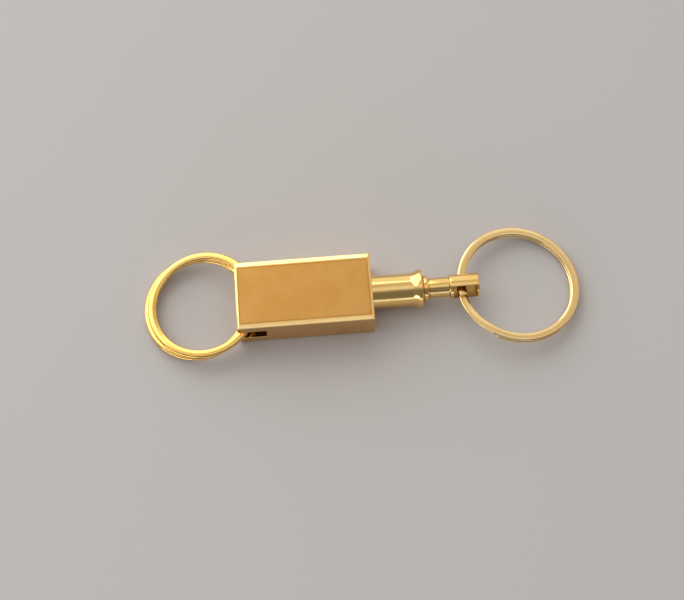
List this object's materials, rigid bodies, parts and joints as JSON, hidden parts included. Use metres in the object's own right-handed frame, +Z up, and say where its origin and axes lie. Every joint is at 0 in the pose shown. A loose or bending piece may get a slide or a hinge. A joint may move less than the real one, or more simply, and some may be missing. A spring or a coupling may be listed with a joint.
{
  "type": "quick-release key holder",
  "caption": "Gold-plated pull-apart key holder: a bar with a split ring in its slotted end, and a sleeve-operated ball-lock socket that holds a slotted swivel plug with its own split ring.",
  "frame": {"origin": "centre of the bounding box's bottom face, on the plane the holder lies on", "axes": "+X along the holder from the block towards the socket and its plug, +Z up out of the block's broad face"},
  "size_m": [0.098, 0.028, 0.0088],
  "materials": {
    "satin_gold_plate": "satin gold plate with polished edges",
    "polished_gold_plate": "polished gold plate",
    "bright_steel": "bright"
  },
  "bodies": {
    "holder": {"body_block": "satin_gold_plate", "ring_pin": "polished_gold_plate", "barrel": "polished_gold_plate", "nose_ring": "polished_gold_plate", "return_spring": "bright_steel"},
    "sleeve": {"sliding_sleeve": "polished_gold_plate"},
    "ball_1": {"lock_ball_1": "bright_steel"},
    "ball_2": {"lock_ball_2": "bright_steel"},
    "ball_3": {"lock_ball_3": "bright_steel"},
    "plug": {"plug_stem": "polished_gold_plate"},
    "head": {"swivel_head": "polished_gold_plate"},
    "left_ring": {"left_split_ring": "polished_gold_plate"},
    "right_ring": {"right_split_ring": "polished_gold_plate"}
  },
  "joints": [
    {"name": "sleeve_slide", "type": "slide", "parent": "holder", "child": "sleeve", "axis": [-1, 0, 0], "range_m": [0, 0.0024], "stiffness_N_per_m": 400, "springref_m": -0.003, "deforming": ["return_spring"]},
    {"name": "ball_1_slide", "type": "slide", "parent": "holder", "child": "ball_1", "axis": [0, 0, 1], "range_m": [0, 0.00058]},
    {"name": "ball_2_slide", "type": "slide", "parent": "holder", "child": "ball_2", "axis": [0, -0.866, -0.5], "range_m": [0, 0.00058]},
    {"name": "ball_3_slide", "type": "slide", "parent": "holder", "child": "ball_3", "axis": [0, 0.866, -0.5], "range_m": [0, 0.00058]},
    {"name": "plug_pull", "type": "slide", "parent": "holder", "child": "plug", "axis": [1, 0, 0], "range_m": [0, 0.0012]},
    {"name": "head_swivel", "type": "hinge", "parent": "plug", "child": "head", "pos_m": [0.0212, 0.0001, 0.0044], "axis": [1, 0, 0], "continuous": true},
    {"name": "left_ring_swing", "type": "hinge", "parent": "holder", "child": "left_ring", "pos_m": [-0.02675, 0.0001, 0.00407], "axis": [0, 0, 1], "range_deg": [-28, 28]},
    {"name": "right_ring_swing", "type": "hinge", "parent": "head", "child": "right_ring", "pos_m": [0.02218, 0.0001, 0.0044], "axis": [0, 0.9986, -0.0523], "range_deg": [-140, 140]}
  ],
  "couplings": [
    {"joint": "ball_1_slide", "follows": "sleeve_slide", "ratio": 0.24167},
    {"joint": "ball_2_slide", "follows": "sleeve_slide", "ratio": 0.24167},
    {"joint": "ball_3_slide", "follows": "sleeve_slide", "ratio": 0.24167},
    {"joint": "plug_pull", "follows": "sleeve_slide", "ratio": 0.5}
  ]
}
